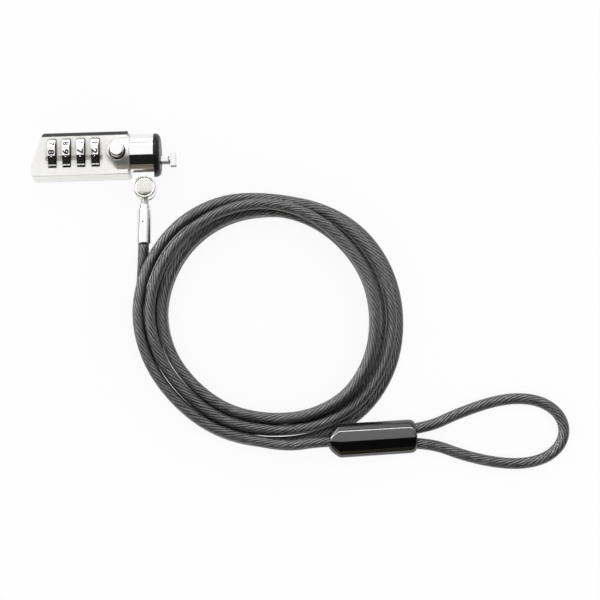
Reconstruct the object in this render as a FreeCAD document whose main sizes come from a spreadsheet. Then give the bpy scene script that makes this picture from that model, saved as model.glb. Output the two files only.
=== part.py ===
import FreeCAD, Part
import Sketcher
import math
import os
import re

Vector = FreeCAD.Vector
Rotation = FreeCAD.Rotation
Placement = FreeCAD.Placement

# The frame: X runs along the lock towards the locking bar, Z points up out of the dial face,
# and the origin is on the head's axis in the plane that seats against the computer.
# Lengths are in millimetres and angles in degrees.
SIZES = {
    # shell
    "head_radius": 8.8,
    "shell_length": 51.4,
    "shell_face": 5.8,
    "shell_end": 12.7,
    "back_round": 7.3,
    "back_flat": 1.5,
    "belly": 0.6,
    "slant_length": 4.6,
    "slant_angle": 20.0,
    "corner_round": 1.4,
    "shoulder_end": 12.0,
    "shoulder_root": 15.2,
    "shoulder_tip": 4.2,
    "journal_radius": 6.95,
    "groove_width": 1.7,
    "groove_depth": 0.3,
    "groove_place": -1.7,
    "groove_past": 2.7,
    # clearances
    "running_gap": 0.05,
    "side_gap": 0.1,
    # how far a cutter runs past a face, and a piece sinks into the one that it is joined to
    "overrun": 1.0,
    "sink": 0.5,
    # end cap and the guide that fills the computer's slot
    "cap_length": 2.4,
    "cap_round": 2.0,
    "cap_wall": 0.9,
    "spigot_radius": 5.0,
    "spigot_bore": 4.3,
    "spigot_length": 3.2,
    "guide_width": 2.2,
    "guide_height": 5.4,
    "guide_reach": 3.5,
    "guide_slope": 0.5,
    "guide_plate": 1.0,
    # locking bar
    "bar_place": -2.2,
    "bar_radius": 1.25,
    "bar_head_gap": 0.35,
    "bar_head_depth": 2.4,
    "bar_head_length": 5.3,
    "bar_head_height": 2.8,
    "bar_head_round": 0.35,
    "clip_radius": 2.0,
    "clip_seat": 0.95,
    "clip_start": 2.8,
    "clip_width": 0.6,
    "pinion_seat": 0.6,
    "pinion_width": 2.4,
    "pinion_gap": 0.3,
    "gear_pitch_radius": 1.4,
    "gear_root": 0.94,
    "gear_tip": 1.68,
    "tooth_root_half": 0.24,
    "tooth_tip_half": 0.11,
    "tooth_sink": 0.15,
    # push button and the slider below it
    "button_place": 16.8,
    "button_radius": 3.0,
    "button_gap": 0.25,
    "button_low": 7.6,
    "button_dome": 12.5,
    "button_top": 12.8,
    "button_round": 0.5,
    "pocket_floor": 5.2,
    "shank_radius": 0.95,
    "shank_place": 0.9,
    "shank_depth": 1.0,
    "slider_half": 1.5,
    "slider_near": -0.36,
    "slider_far": 2.6,
    "slider_top": 4.0,
    "slider_low": -2.0,
    "rack_tip": -1.12,
    "ramp_height": 0.53,
    "ramp_gap": 0.07,
    "chamber_left": 4.8,
    "chamber_right": 1.85,
    "chamber_near": -4.2,
    "chamber_far": 3.0,
    "chamber_top": 4.15,
    # dials
    "dial_radius": 6.4,
    "dial_bore": 4.6,
    "dial_width": 3.1,
    "dial_flats": 6.25,
    "rib_start": 5.9,
    "rib_foot_half": 0.96,
    "rib_land_half": 0.22,
    "notch_width": 0.4,
    "notch_radius": 6.0,
    "dial_inset": 8.4,
    "dial_to_button": 8.92,
    "dial_across": 0.8,
    "dial_rise": 2.4,
    "dial_turn": 6.0,
    "key_width": 1.0,
    "key_height": 0.5,
    "window_near": 6.2,
    "window_far": 5.4,
    "window_depth": 0.6,
    # code wheels and locking spindle
    "hub_radius": 2.55,
    "hub_apart": 0.56,
    "recess_radius": 2.15,
    "gate_face": 0.4,
    "gate_width": 1.5,
    "gate_half": 2.1,
    "spindle_radius": 1.1,
    "spindle_inset": 5.65,
    "lug_half": 1.95,
    "lug_width": 1.3,
    "lug_start": 0.1,
    "lug_length": 1.0,
    "spring_bore": 1.35,
    "spring_wall": 2.4,
    # cradle, detent springs and covers
    "end_wall": 4.4,
    "cavity_near": -5.8,
    "cavity_far": 7.4,
    "cavity_floor": -4.5,
    "cavity_top": 5.0,
    "cradle_near": -5.7,
    "cradle_far": 7.2,
    "cradle_top": 4.8,
    "cradle_floor": -4.4,
    "cradle_low": -6.0,
    "cradle_end": 0.15,
    "detent_low": -4.36,
    "detent_thickness": 0.16,
    "detent_half": 1.4,
    "detent_near": -3.0,
    "detent_far": 4.6,
    "cover_end": 12.7,
    "cover_low": -1.5,
    "plate_top": -6.1,
    "plate_end": 14.4,
    "screw_radius": 0.7,
    "screw_head": 1.3,
    "screw_head_height": 0.9,
    "screw_slot": 0.4,
    "slot_depth": 0.4,
    "plate_screw_inset": 6.1,
    "plate_screw_right": 1.2,
    "plate_screw_top": -4.9,
    "cover_screw_place": 17.5,
    "cover_screw_high": 3.4,
    "cover_screw_low": 0.0,
    "cover_screw_depth": 5.2,
    # swivel collar and knuckle
    "pivot_place": 6.55,
    "pivot_reach": 13.8,
    "ear_radius": 4.5,
    "ear_top": 4.0,
    "ear_inner": 2.3,
    "ear_root": 7.4,
    "badge_radius": 3.9,
    "badge_thickness": 0.7,
    "badge_rim": 0.3,
    "badge_line": 0.15,
    "rivet_radius": 1.4,
    "rivet_head": 2.6,
    "rivet_head_height": 0.8,
    "eye_radius": 4.3,
    "eye_height": 4.4,
    # swivel pin and ferrule, as distances from the pivot along the cable
    "pin_root": 2.0,
    "pin_tenon": 1.0,
    "pin_radius": 1.5,
    "pin_head_radius": 2.1,
    "pin_head_start": 11.1,
    "pin_head_end": 12.3,
    "ferrule_start": 6.7,
    "ferrule_step": 8.5,
    "ferrule_end": 22.7,
    "ferrule_neck": 2.5,
    "ferrule_radius": 2.95,
    "ferrule_round": 0.4,
    "ferrule_counterbore": 11.0,
    "cable_start": 16.0,
    "dimple_place": 14.3,
    "dimple_side": 0.5,
    "dimple_radius": 0.6,
    "dimple_rise": 0.2,
    # cable and coil, in the cable's frame: its origin is on the pivot and its Y points at the lock
    "cable_lean": -2.5,
    "cable_radius": 2.2,
    "strand_pitch": 4.95,
    "coil_along": 50.4,
    "coil_out": -50.7,
    "coil_radius": 51.8,
    # moulded sleeve and crimp at the cable's looped end
    "sleeve_along": 92.2,
    "sleeve_out": -99.3,
    "sleeve_level": -2.68,
    "sleeve_yaw": 5.0,
    "sleeve_pitch": 9.0,
    "sleeve_half": 17.5,
    "sleeve_radius": 3.4,
    "sleeve_offset": 3.3,
    "sleeve_nose_start": -13.0,
    "sleeve_nose_half": 3.1,
    "sleeve_nose_round": 0.8,
    "sleeve_round": 2.0,
    "crimp_low": -7.0,
    "crimp_high": 14.0,
    "crimp_radius": 2.75,
    "crimp_wall": 4.0,
    "leg_offset": 2.6,
    "leg_knee": 22.0,
    # springs
    "spring_wire": 0.15,
    "button_spring_radius": 1.1,
    "button_spring_turns": 5,
    "spindle_spring_radius": 0.8,
    "spindle_spring_turns": 4,
}

# The strand's places a quarter turn apart, from the coil's left side on, as (steps in from
# the outermost place, layers up from the floor). It winds inward on the floor, climbs where
# it turns back, and winds outward again on top.
COIL_PLACES = [
    (0, 0), (0, 0), (0, 0), (0.5, 0),
    (1, 0), (1, 0), (1, 0), (1.5, 0),
    (2, 0), (2, 0), (2, 1), (1.5, 1),
    (2, 1), (2, 1), (2, 2), (1.5, 2),
    (1, 2), (1, 1), (1, 1), (0.5, 1),
    (0, 2), (0, 1),
]

# The last climb is over before the strand crosses the cable from the ferrule
LAST_CLIMB = (19.5, 0.15, 2)

# Corners of the anchor loop in the cable's frame, between the sleeve's two legs
LOOP_CORNERS = [
    (127.2, -88.1), (144.1, -82.4), (157.1, -82.3), (165.8, -86.8), (169.2, -94.0),
    (167.0, -101.4), (159.6, -106.9), (147.3, -108.7), (130.4, -105.9),
]

DIAL_COUNT = 4
DIGITS = 10
PINION_TEETH = 8
RACK_TEETH = (-1.5, -0.5, 0.5, 1.5, 2.5)
LEAST_COIL_GAP = 0.4
# the share of a run that each of the loop's arcs takes
LOOP_TRIM = 0.45
WIRE_SIDES = 8

os.makedirs("parts", exist_ok=True)
doc = FreeCAD.newDocument("CableLock")
sheet = doc.addObject("Spreadsheet::Sheet", "sizes")
for row, (alias, number) in enumerate(SIZES.items(), start=1):
    sheet.set(f"A{row}", alias)
    sheet.set(f"B{row}", str(number))
    sheet.setAlias(f"B{row}", alias)
doc.recompute()

TURNS = {
    "x": Rotation(Vector(0, 1, 0), 90),
    "y": Rotation(Vector(1, 0, 0), -90),
    "z": Rotation(),
}
ACROSS = {"x": "yz", "y": "xz", "z": "xy"}
NODES = []


def size(name):
    return float(sheet.get(name))


def linked(text):
    """An expression in which each size's name points at its cell."""
    def pointed(word):
        return "sizes." + word.group() if word.group() in SIZES else word.group()
    return re.sub(r"[A-Za-z_]\w*", pointed, text)


def bind(item, prop, text):
    item.setExpression(prop, linked(text))


def box(x, y, z):
    """A block between the low and high expressions of each axis."""
    item = doc.addObject("Part::Box", "block")
    for prop, axis, (low, high) in zip(("Length", "Width", "Height"), "xyz", (x, y, z)):
        bind(item, prop, f"({high}) - ({low})")
        bind(item, "Placement.Base." + axis, low)
    return item


def stand(item, axis, low, centre):
    """Turns a primitive that was drawn along Z onto an axis through a centre."""
    item.Placement = Placement(Vector(), TURNS[axis])
    bind(item, "Placement.Base." + axis, low)
    for other, place in zip(ACROSS[axis], centre):
        bind(item, "Placement.Base." + other, place)
    return item


def rod(axis, low, high, radius, centre=("0", "0")):
    item = doc.addObject("Part::Cylinder", "rod")
    bind(item, "Radius", radius)
    bind(item, "Height", f"({high}) - ({low})")
    return stand(item, axis, low, centre)


def ball(radius, centre):
    item = doc.addObject("Part::Sphere", "ball")
    bind(item, "Radius", radius)
    for axis, place in zip("xyz", centre):
        bind(item, "Placement.Base." + axis, place)
    return item


def join(*items):
    if len(items) == 1:
        return items[0]
    item = doc.addObject("Part::MultiFuse", "joined")
    item.Shapes = list(items)
    item.Refine = True
    return item


def cut(base, *tools):
    item = doc.addObject("Part::Cut", "cut")
    item.Base = base
    item.Tool = join(*tools)
    item.Refine = True
    return item


def shared(first, second):
    item = doc.addObject("Part::Common", "shared")
    item.Base = first
    item.Tool = second
    item.Refine = True
    return item


def rounded(base, name, chosen):
    """Rounds the edges whose middle point the test accepts."""
    doc.recompute()
    item = doc.addObject("Part::Fillet", "rounded")
    item.Base = base
    radius = size(name)
    edges = []
    for index, edge in enumerate(base.Shape.Edges, start=1):
        middle = edge.valueAt((edge.FirstParameter + edge.LastParameter) / 2)
        if chosen(edge, middle):
            edges.append((index, radius, radius))
    item.Edges = edges
    return item


def rim(axis, place):
    """A test for the circles in a plane across an axis."""
    def chosen(edge, middle):
        flat = all(abs(getattr(v.Point, axis) - place) < 0.001 for v in edge.Vertexes)
        return flat and abs(getattr(middle, axis) - place) < 0.001
    return chosen


def group(*items):
    item = doc.addObject("Part::Compound", "group")
    item.Links = list(items)
    return item


def node(label, item):
    item.Label = label
    NODES.append(item)
    return item


def sketch_on(body, role, name):
    sketch = body.newObject("Sketcher::SketchObject", name)
    origin_plane = next(item for item in body.Origin.OriginFeatures if item.Role == role)
    sketch.AttachmentSupport = [(origin_plane, "")]
    sketch.MapMode = "FlatFace"
    return sketch


def hold(sketch, geometry, end, pair):
    """Puts a sketch point at a pair of expressions from the sketch's origin."""
    for kind, text in zip(("DistanceX", "DistanceY"), pair):
        place = sketch.addConstraint(Sketcher.Constraint(kind, -1, 1, geometry, end, 1.0))
        sketch.setExpression(f"Constraints[{place}]", linked(text))


def padded(body, sketch, thickness, middle, axis):
    """Pads a sketch to both sides and moves the body to its middle."""
    pad = body.newObject("PartDesign::Pad", body.Name + "_pad")
    pad.Profile = sketch
    pad.SideType = "Symmetric"
    bind(pad, "Length", thickness)
    bind(body, "Placement.Base." + axis, middle)
    sketch.Visibility = False
    return body


def prism(name, role, corners, thickness, middle="0"):
    """A plate whose outline runs through corners given as expressions."""
    body = doc.addObject("PartDesign::Body", name)
    sketch = sketch_on(body, role, name + "_outline")
    count = len(corners)
    for index in range(count):
        angles = [2 * math.pi * turn / count for turn in (index, index + 1)]
        ends = [Vector(10 * math.cos(a), 10 * math.sin(a), 0) for a in angles]
        sketch.addGeometry(Part.LineSegment(*ends), False)
    for index in range(count):
        sketch.addConstraint(Sketcher.Constraint("Coincident", index, 2, (index + 1) % count, 1))
    for index, pair in enumerate(corners):
        hold(sketch, index, 1, pair)
    axis = {"XY_Plane": "z", "XZ_Plane": "y", "YZ_Plane": "x"}[role]
    return padded(body, sketch, thickness, middle, axis)


# Places along the shell that several pieces share, measured from its far end or from the button
FIRST_DIAL = "(shell_length - dial_inset)"
LAST_DIAL = "(button_place + dial_to_button)"
DIAL_PITCH = f"(({FIRST_DIAL} - {LAST_DIAL}) / {DIAL_COUNT - 1})"
CAVITY_START = "(shell_length - end_wall)"
CHAMBER_LEFT = "(button_place + chamber_left)"
CHAMBER_RIGHT = "(button_place - chamber_right)"
CRADLE_END = f"({CHAMBER_LEFT} + cradle_end)"
PLATE_SCREWS = ("(shell_length - plate_screw_inset)", f"({CHAMBER_LEFT} + plate_screw_right)")


def dial_place(index):
    return f"(-{FIRST_DIAL} + {index} * {DIAL_PITCH})"


# Shell

def shell_bar():
    """The long part of the shell: a flat face over a rounded back, slanted at its far end."""
    low, high = "-shell_length - overrun", "-shell_end"
    section = join(
        box((low, high), ("-head_radius", "head_radius"), ("back_round - head_radius", "shell_face")),
        box((low, high), ("-back_flat", "back_flat"), ("-head_radius", "0")),
        box((low, high), ("-back_flat - belly", "0"), ("-head_radius", "0")),
        rod("x", low, high, "back_round", ("-back_flat - belly", "back_round - head_radius")),
        rod("x", low, high, "back_round", ("back_flat", "back_round - head_radius")),
    )
    bend = "head_radius - slant_length / tan(slant_angle)"
    plan = prism("shell_plan", "XY_Plane", [
        ("-shell_end", "-head_radius - belly"),
        ("-shell_end", "head_radius"),
        ("-shell_length + slant_length", "head_radius"),
        ("-shell_length", bend),
        ("-shell_length", "-head_radius - belly"),
    ], "4 * head_radius")
    far = -size("shell_end") - size("overrun")
    upright = rounded(plan, "corner_round", lambda edge, middle: (
        len(edge.Vertexes) == 2 and middle.x < far
        and abs(edge.Vertexes[0].Z - edge.Vertexes[1].Z) > 3 * size("head_radius")
    ))
    return shared(section, upright)


def teardrop():
    """The raised shoulder round the button: a tip circle and two lines tangent to it."""
    body = doc.addObject("PartDesign::Body", "teardrop")
    sketch = sketch_on(body, "XY_Plane", "teardrop_outline")
    tip = Vector(-size("button_place"), 0, 0)
    root = [Vector(-size("shoulder_root"), sign * size("head_radius"), 0) for sign in (1, -1)]
    radius = size("shoulder_tip")
    to_root = root[0] - tip
    lean = math.atan2(to_root.y, to_root.x) + math.acos(radius / to_root.Length)
    touch = [tip + Vector(radius * math.cos(a), radius * math.sin(a), 0) for a in (lean, -lean)]
    circle = Part.Circle(tip, Vector(0, 0, 1), radius)
    sketch.addGeometry(Part.ArcOfCircle(circle, lean, 2 * math.pi - lean), False)
    sketch.addGeometry(Part.LineSegment(root[0], touch[0]), False)
    sketch.addGeometry(Part.LineSegment(touch[1], root[1]), False)
    sketch.addGeometry(Part.LineSegment(root[1], root[0]), False)
    sketch.addConstraint(Sketcher.Constraint("Tangent", 1, 2, 0, 1))
    sketch.addConstraint(Sketcher.Constraint("Tangent", 2, 1, 0, 2))
    sketch.addConstraint(Sketcher.Constraint("Coincident", 2, 2, 3, 1))
    sketch.addConstraint(Sketcher.Constraint("Coincident", 3, 2, 1, 1))
    turn = sketch.addConstraint(Sketcher.Constraint("Radius", 0, radius))
    sketch.setExpression(f"Constraints[{turn}]", linked("shoulder_tip"))
    hold(sketch, 0, 3, ("-button_place", "0"))
    hold(sketch, 3, 1, ("-shoulder_root", "-head_radius"))
    hold(sketch, 3, 2, ("-shoulder_root", "head_radius"))
    return padded(body, sketch, "2 * (head_radius + overrun)", "head_radius + overrun", "z")


def shoulder():
    drum = rod("x", "-button_place - shoulder_tip - overrun", "-shoulder_root", "head_radius")
    root = rod("x", "-shoulder_root", "-shoulder_end", "head_radius")
    return join(shared(drum, teardrop()), root)


def windows():
    """Round cuts that the dials turn in, squared off where they break the face."""
    tools = []
    for index in range(DIAL_COUNT):
        place = dial_place(index)
        span = (f"{place} - dial_width / 2 - side_gap", f"{place} + dial_width / 2 + side_gap")
        tools.append(rod("x", *span, "dial_radius + side_gap", ("dial_across", "dial_rise")))
        tools.append(box(
            span,
            ("dial_across - window_near", "dial_across + window_far"),
            ("shell_face - window_depth", "shell_face + overrun"),
        ))
    return tools


def housing_hollows():
    return [
        box((f"-{CAVITY_START}", f"-{CHAMBER_LEFT}"), ("cavity_near", "cavity_far"),
            ("cavity_floor", "cavity_top")),
        box((f"-{CAVITY_START}", "-plate_end + side_gap / 2"),
            ("cavity_near", "-cavity_near"), ("-head_radius - overrun", "plate_top")),
        box((f"-{CAVITY_START}", f"-{CHAMBER_LEFT}"), ("cavity_near", "-cavity_near"),
            ("plate_top - overrun", "cavity_floor + overrun")),
        box((f"-{CHAMBER_LEFT} - overrun", f"-{CHAMBER_RIGHT}"), ("chamber_near", "chamber_far"),
            ("plate_top - overrun", "chamber_top")),
        rod("z", "pocket_floor", "head_radius + overrun", "button_radius + button_gap",
            ("-button_place", "0")),
        rod("z", "chamber_top - overrun", "pocket_floor + overrun", "shank_radius + side_gap",
            ("-button_place", "shank_place")),
        rod("x", "-cap_length - spigot_length", "-cap_length + overrun", "spigot_radius"),
        rod("x", f"-{CHAMBER_RIGHT} - overrun", "-cap_length", "bar_radius + running_gap",
            ("bar_place", "0")),
        rod("x", "-shell_length + spring_wall", f"-{CAVITY_START} + overrun", "spring_bore",
            ("dial_across", "dial_rise")),
        box((f"-{FIRST_DIAL} - groove_past", f"-{LAST_DIAL} + groove_past"),
            ("groove_place - groove_width / 2", "groove_place + groove_width / 2"),
            ("shell_face - groove_depth", "shell_face + overrun")),
    ]


def cover_region():
    return box(("-shell_length", "-cover_end"), ("cavity_far", "head_radius + overrun"),
               ("cover_low", "shell_face + overrun"))


def plate_region(gap):
    return box((f"-{CAVITY_START} + {gap}", f"-plate_end - {gap} / 2"),
               (f"cavity_near + {gap}", f"-cavity_near - {gap}"),
               ("-head_radius - overrun", "plate_top"))


def cover_screw_heights():
    return ("cover_screw_low", "cover_screw_high")


def cover_screw(height):
    """A small countersunk screw through the side cover, with a driver slot."""
    centre = ("-cover_screw_place", height)
    neck = "head_radius - screw_head_height"
    slot = box(
        ("-cover_screw_place - screw_head", "-cover_screw_place + screw_head"),
        ("head_radius - slot_depth", "head_radius + overrun"),
        (f"{height} - screw_slot / 2", f"{height} + screw_slot / 2"),
    )
    return join(
        rod("y", "cover_screw_depth", neck, "screw_radius", centre),
        rod("y", neck, "head_radius", "screw_head", centre),
    ), slot


def plate_screw(place):
    centre = (f"-{place}", "0")
    neck = "-head_radius + screw_head_height"
    slot = box(
        (f"-{place} - screw_head", f"-{place} + screw_head"),
        ("-screw_slot / 2", "screw_slot / 2"),
        ("-head_radius - overrun", "-head_radius + slot_depth"),
    )
    return join(
        rod("z", neck, "plate_screw_top", "screw_radius", centre),
        rod("z", "-head_radius", neck, "screw_head", centre),
    ), slot


def make_shell():
    bar = shell_bar()
    cover_screws = [cover_screw(height) for height in cover_screw_heights()]
    plate_screws = [plate_screw(place) for place in PLATE_SCREWS]
    journal = rod("x", "-shoulder_end - overrun", "-cap_length", "journal_radius")
    solid_shell = join(bar, shoulder(), journal)
    node("housing", cut(
        solid_shell, *windows(), *housing_hollows(), cover_region(),
        *[shank for shank, slot in cover_screws],
    ))
    cover = shared(bar, cover_region())
    node("side_cover", cut(cover, *[shank for shank, slot in cover_screws]))
    plate = shared(bar, plate_region("side_gap"))
    node("back_plate", cut(plate, *[shank for shank, slot in plate_screws]))
    node("side_cover_screws", group(*[cut(shank, slot) for shank, slot in cover_screws]))
    node("back_plate_screws", group(*[cut(shank, slot) for shank, slot in plate_screws]))
    return plate_screws


def make_cradle(plate_screws):
    """The frame that the dials' hubs turn in, and the leaf springs that click them."""
    ribs = [box((f"-{CAVITY_START} + side_gap", f"{dial_place(0)} - dial_width / 2 - side_gap"),
                ("cradle_near", "cradle_far"), ("cradle_floor", "cradle_top"))]
    for index in range(DIAL_COUNT - 1):
        ribs.append(box(
            (f"{dial_place(index)} + dial_width / 2 + side_gap",
             f"{dial_place(index + 1)} - dial_width / 2 - side_gap"),
            ("cradle_near", "cradle_far"), ("cradle_floor", "cradle_top"),
        ))
    last = f"{dial_place(DIAL_COUNT - 1)} + dial_width / 2 + side_gap"
    ribs.append(box((last, f"-{CRADLE_END}"), ("cradle_near", "cradle_far"),
                    ("cradle_floor", "cradle_top")))
    slab = box((f"-{CAVITY_START} + side_gap", f"-{CRADLE_END}"), ("cradle_near", "-cradle_near"),
               ("cradle_low", "cradle_floor"))
    hub_gap = "(hub_radius + running_gap)"
    slot = rod("x", f"-{CAVITY_START}", f"-{CRADLE_END} + overrun", hub_gap, ("dial_across", "dial_rise"))
    mouth = box((f"-{CAVITY_START}", f"-{CRADLE_END} + overrun"),
                (f"dial_across - {hub_gap}", f"dial_across + {hub_gap}"),
                ("dial_rise", "cradle_top + overrun"))
    node("dial_cradle", cut(
        join(slab, *ribs), slot, mouth, *[shank for shank, slot in plate_screws],
    ))
    leaves = [
        box((f"{dial_place(index)} - detent_half", f"{dial_place(index)} + detent_half"),
            ("detent_near", "detent_far"), ("detent_low", "detent_low + detent_thickness"))
        for index in range(DIAL_COUNT)
    ]
    node("detent_springs", group(*leaves))


def key_bar(index, length):
    place = dial_place(index)
    reach = "(dial_bore + key_height)"
    return box((f"{place} - {length} / 2", f"{place} + {length} / 2"),
               ("dial_across - key_width / 2", "dial_across + key_width / 2"),
               (f"dial_rise - {reach}", f"dial_rise + {reach}"))


def make_dial(index):
    """A ten-sided number ring with a rib along each corner, notched round its middle."""
    place = dial_place(index)
    axis = ("dial_across", "dial_rise")
    left, right = f"{place} - dial_width / 2", f"{place} + dial_width / 2"
    ring = doc.addObject("Part::Prism", "ring")
    ring.Polygon = DIGITS
    bind(ring, "Circumradius", "dial_flats")
    bind(ring, "Height", "dial_width")
    stand(ring, "x", left, axis)
    half_side = 180 / DIGITS
    ring.Placement.Rotation = Rotation(Vector(1, 0, 0), size("dial_turn") + half_side) * TURNS["x"]
    ribs = []
    for corner in range(DIGITS):
        rib = doc.addObject("Part::Wedge", "rib")
        for prop, text in (
            ("Xmin", left), ("Xmax", right), ("X2min", left), ("X2max", right),
            ("Ymin", "rib_start"),
            ("Ymax", "sqrt(dial_radius * dial_radius - rib_land_half * rib_land_half)"),
            ("Zmin", "-rib_foot_half"), ("Zmax", "rib_foot_half"),
            ("Z2min", "-rib_land_half"), ("Z2max", "rib_land_half"),
        ):
            bind(rib, prop, text)
        turn = size("dial_turn") + corner * 360 / DIGITS
        rib.Placement = Placement(Vector(), Rotation(Vector(1, 0, 0), turn))
        bind(rib, "Placement.Base.y", "dial_across")
        bind(rib, "Placement.Base.z", "dial_rise")
        ribs.append(rib)
    bore = rod("x", f"{left} - overrun", f"{right} + overrun", "dial_bore", axis)
    middle = (f"{place} - notch_width / 2", f"{place} + notch_width / 2")
    notch = cut(rod("x", *middle, "dial_radius + overrun", axis), rod("x", *middle, "notch_radius", axis))
    keyway = key_bar(index, "(dial_width + 2 * overrun)")
    node(f"dial_{index + 1}", cut(join(ring, *ribs), bore, keyway, notch))


def make_code_wheel(index):
    """The wheel keyed in a dial: two opposite gates in its wall let the spindle's lug through."""
    place = dial_place(index)
    axis = ("dial_across", "dial_rise")
    low = f"{place} - dial_width / 2"
    high = f"{place} + dial_width / 2"
    hub_length = f"(({DIAL_PITCH} - dial_width - hub_apart) / 2)"
    wall = f"{place} - gate_face"
    disc = rod("x", low, high, "dial_bore", axis)
    left, right = f"{low} - {hub_length}", f"{high} + {hub_length}"
    hub = rod("x", left, right, "hub_radius", axis)
    recess = rod("x", wall, f"{right} + overrun", "recess_radius", axis)
    bore = rod("x", f"{left} - overrun", f"{right} + overrun", "spindle_radius + side_gap", axis)
    gate = box((f"{left} - overrun", f"{wall} + overrun"),
               ("dial_across - gate_width / 2", "dial_across + gate_width / 2"),
               ("dial_rise - gate_half", "dial_rise + gate_half"))
    keys = key_bar(index, "dial_width")
    node(f"code_wheel_{index + 1}", cut(join(disc, hub, keys), recess, bore, gate))


def make_spindle():
    """The rod that the button's ramp pushes along through all the gates."""
    axis = ("dial_across", "dial_rise")
    tip = "(button_place + slider_half + side_gap)"
    shaft = rod("x", "-shell_length + spindle_inset", f"-{tip}", "spindle_radius", axis)
    lugs = []
    for index in range(DIAL_COUNT):
        start = f"{dial_place(index)} - lug_start"
        lugs.append(box(
            (start, f"{start} + lug_length"),
            ("dial_across - lug_width / 2", "dial_across + lug_width / 2"),
            ("dial_rise - lug_half", "dial_rise + lug_half"),
        ))
    slope = f"(-{tip} + dial_rise - spindle_radius)"
    bevel = prism("spindle_bevel", "XZ_Plane", [
        (f"{slope} - head_radius", "head_radius"),
        (f"{slope} + head_radius", "-head_radius"),
        (f"{slope} + head_radius", "head_radius"),
    ], "2 * head_radius")
    node("spindle", cut(join(shaft, *lugs), bevel))


# Push button, slider and locking bar

def make_button():
    rise = "(button_top - button_dome)"
    sphere = f"((button_radius * button_radius + {rise} * {rise}) / (2 * {rise}))"
    centre = ("-button_place", "0")
    crown = shared(
        rod("z", "button_low", "button_top", "button_radius", centre),
        ball(sphere, ("-button_place", "0", f"button_top - {sphere}")),
    )
    soft_crown = rounded(crown, "button_round", rim("z", size("button_dome")))
    shank = rod("z", "slider_top - shank_depth", "button_low + sink", "shank_radius",
                ("-button_place", "shank_place"))
    node("button", join(soft_crown, shank))


def make_slider():
    """The block under the button: its rack turns the bar and its ramp pushes the spindle."""
    left = "(-button_place - slider_half)"
    right = "(-button_place + slider_half)"
    ramp_low = "(dial_rise - spindle_radius - side_gap + ramp_gap)"
    tip_height = "(slider_top - ramp_height)"
    block = prism("slider_block", "XZ_Plane", [
        (right, "slider_low"),
        (right, "slider_top"),
        (f"{left} - {tip_height} + {ramp_low}", "slider_top"),
        (f"{left} - {tip_height} + {ramp_low}", tip_height),
        (left, ramp_low),
        (left, "slider_low"),
    ], "slider_far - slider_near", "(slider_far + slider_near) / 2")
    teeth = []
    for place in RACK_TEETH:
        tooth = doc.addObject("Part::Wedge", "rack_tooth")
        bind(tooth, "Xmin", left)
        bind(tooth, "Xmax", right)
        bind(tooth, "X2min", left)
        bind(tooth, "X2max", right)
        bind(tooth, "Ymin", "rack_tip")
        bind(tooth, "Ymax", "slider_near")
        bind(tooth, "Zmin", "-tooth_tip_half")
        bind(tooth, "Zmax", "tooth_tip_half")
        bind(tooth, "Z2min", "-tooth_root_half")
        bind(tooth, "Z2max", "tooth_root_half")
        bind(tooth, "Placement.Base.z", f"{place} * 2 * pi * gear_pitch_radius / {PINION_TEETH}")
        teeth.append(tooth)
    socket = rod("z", "slider_top - shank_depth", "slider_top + overrun", "shank_radius",
                 ("-button_place", "shank_place"))
    node("button_slider", cut(join(block, *teeth), socket))


def make_bar():
    """The locking bar with its T-shaped head, turned here to its locked place."""
    centre = ("bar_place", "0")
    pinion_low = "(-button_place - pinion_width / 2)"
    pinion_high = "(-button_place + pinion_width / 2)"
    head_start = "(guide_reach + bar_head_gap)"
    shaft = rod("x", f"{pinion_high} + pinion_gap", f"{head_start} + sink", "bar_radius", centre)
    seat = rod("x", pinion_low, f"{pinion_high} + overrun", "pinion_seat", centre)
    head = box(
        (head_start, f"{head_start} + bar_head_depth"),
        ("bar_place - bar_head_length / 2", "bar_place + bar_head_length / 2"),
        ("-bar_head_height / 2", "bar_head_height / 2"),
    )
    face = size("guide_reach") + size("bar_head_gap") + size("bar_head_depth")
    soft_head = rounded(head, "bar_head_round", rim("x", face))
    groove = cut(
        rod("x", "-clip_start - clip_width", "-clip_start", "bar_radius + overrun", centre),
        rod("x", "-clip_start - clip_width - overrun", "-clip_start + overrun", "clip_seat", centre),
    )
    node("locking_bar", cut(join(shaft, seat, soft_head), groove))

    ring = cut(
        rod("x", "-clip_start - clip_width", "-clip_start", "clip_radius", centre),
        rod("x", "-clip_start - clip_width - overrun", "-clip_start + overrun", "clip_seat", centre),
    )
    gap = box(("-clip_start - clip_width - overrun", "-clip_start + overrun"),
              ("bar_place", "bar_place + clip_radius + overrun"), ("-clip_seat / 2", "clip_seat / 2"))
    node("bar_clip", cut(ring, gap))

    blank = rod("x", pinion_low, pinion_high, "gear_root", centre)
    teeth = []
    for index in range(PINION_TEETH):
        tooth = doc.addObject("Part::Wedge", "pinion_tooth")
        for prop, text in (
            ("Xmin", pinion_low), ("Xmax", pinion_high),
            ("X2min", pinion_low), ("X2max", pinion_high),
            ("Ymin", "gear_root - tooth_sink"), ("Ymax", "gear_tip"),
            ("Zmin", "-tooth_root_half"), ("Zmax", "tooth_root_half"),
            ("Z2min", "-tooth_tip_half"), ("Z2max", "tooth_tip_half"),
        ):
            bind(tooth, prop, text)
        tooth.Placement = Placement(Vector(), Rotation(Vector(1, 0, 0), index * 360 / PINION_TEETH))
        bind(tooth, "Placement.Base.y", "bar_place")
        teeth.append(tooth)
    bore = rod("x", f"{pinion_low} - overrun", f"{pinion_high} + overrun", "pinion_seat", centre)
    node("bar_pinion", cut(join(blank, *teeth), bore))


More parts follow.
